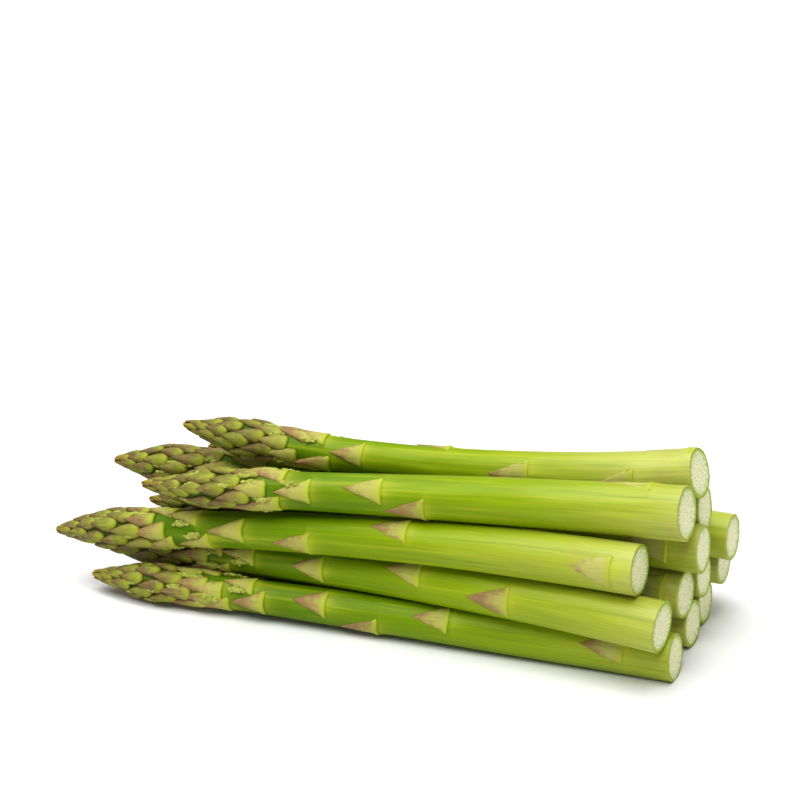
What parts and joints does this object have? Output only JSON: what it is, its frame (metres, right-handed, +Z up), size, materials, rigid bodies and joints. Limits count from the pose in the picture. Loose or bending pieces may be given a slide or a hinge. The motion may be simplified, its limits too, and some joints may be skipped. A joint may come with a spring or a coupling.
{
  "type": "bundle of asparagus",
  "caption": "Loose bundle of thick green asparagus spears with cut ends, lying on one another in a tapering pile.",
  "frame": {"origin": "middle of the pile's bounding box, on the surface it lies on", "axes": "+X along the spears, towards the cut ends; +Y across the bundle; +Z up"},
  "size_m": [0.251, 0.0874, 0.0769],
  "materials": {
    "spear_green": "fresh green plant stalk, satin and waxy, paler towards the cut end"
  },
  "bodies": {
    "root": {"spear_01": "spear_green", "spear_02": "spear_green", "spear_03": "spear_green", "spear_04": "spear_green", "spear_05": "spear_green", "spear_06": "spear_green", "spear_07": "spear_green", "spear_08": "spear_green", "spear_09": "spear_green", "spear_10": "spear_green", "spear_11": "spear_green", "spear_12": "spear_green", "spear_13": "spear_green"}
  },
  "joints": []
}
